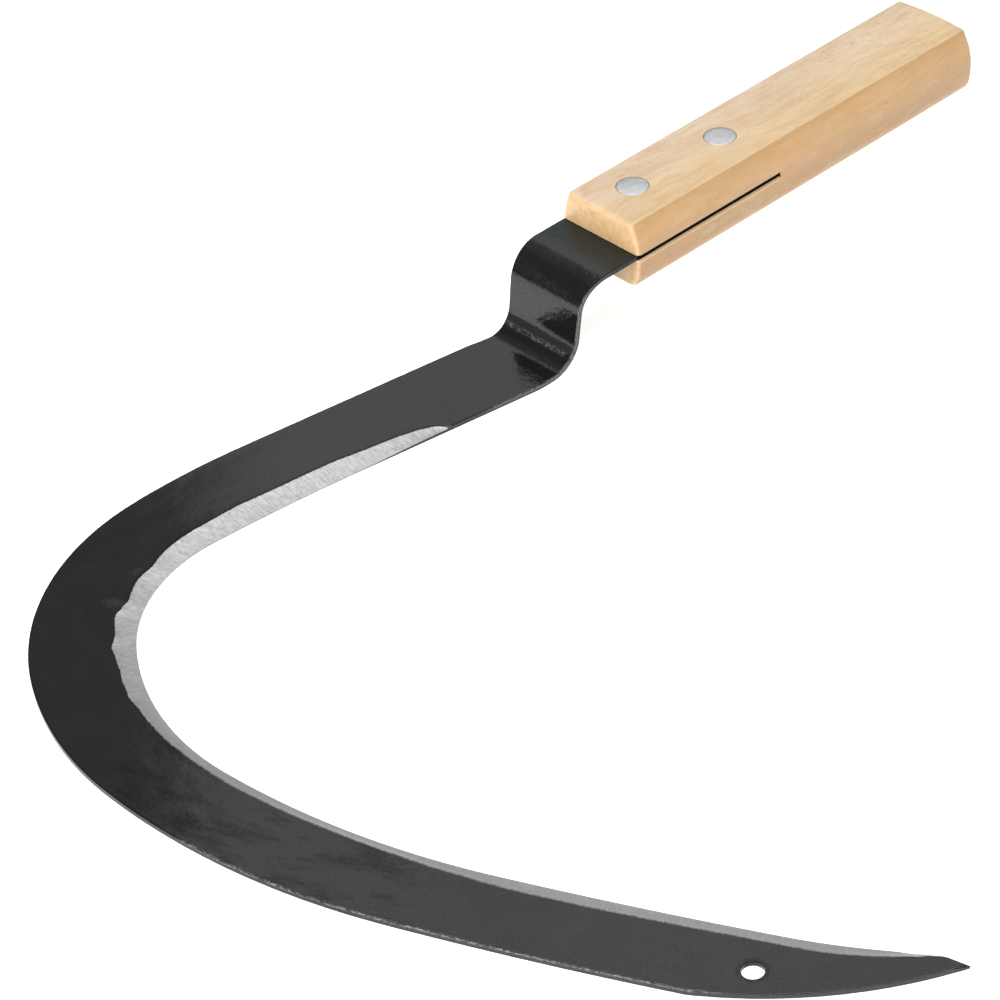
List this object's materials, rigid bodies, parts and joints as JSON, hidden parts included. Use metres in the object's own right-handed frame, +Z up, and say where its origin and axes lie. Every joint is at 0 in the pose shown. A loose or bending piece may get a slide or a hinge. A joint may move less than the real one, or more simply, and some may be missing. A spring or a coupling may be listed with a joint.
{
  "type": "hand sickle",
  "caption": "Hand sickle with a flat curved steel blade, a ground inner edge and a cranked tang riveted into a sawn slot in a plain wooden handle.",
  "frame": {"origin": "on the plane the blade lies on, under the middle of the whole tool's bounding box", "axes": "+X along the handle towards its butt, +Y towards the back of the blade's shank, +Z up from the blade's flat underside"},
  "size_m": [0.3918, 0.2998, 0.0373],
  "materials": {
    "blackened_steel": "thin black scale or lacquer, satin; bare ground steel along the inner edge",
    "lacquered_wood": "pale close-grained hardwood, clear satin lacquer",
    "rivet_aluminium": "dull, sanded flush with the wood"
  },
  "bodies": {
    "root": {"blade": "blackened_steel", "handle": "lacquered_wood", "rivet_front": "rivet_aluminium", "rivet_rear": "rivet_aluminium"}
  },
  "joints": []
}
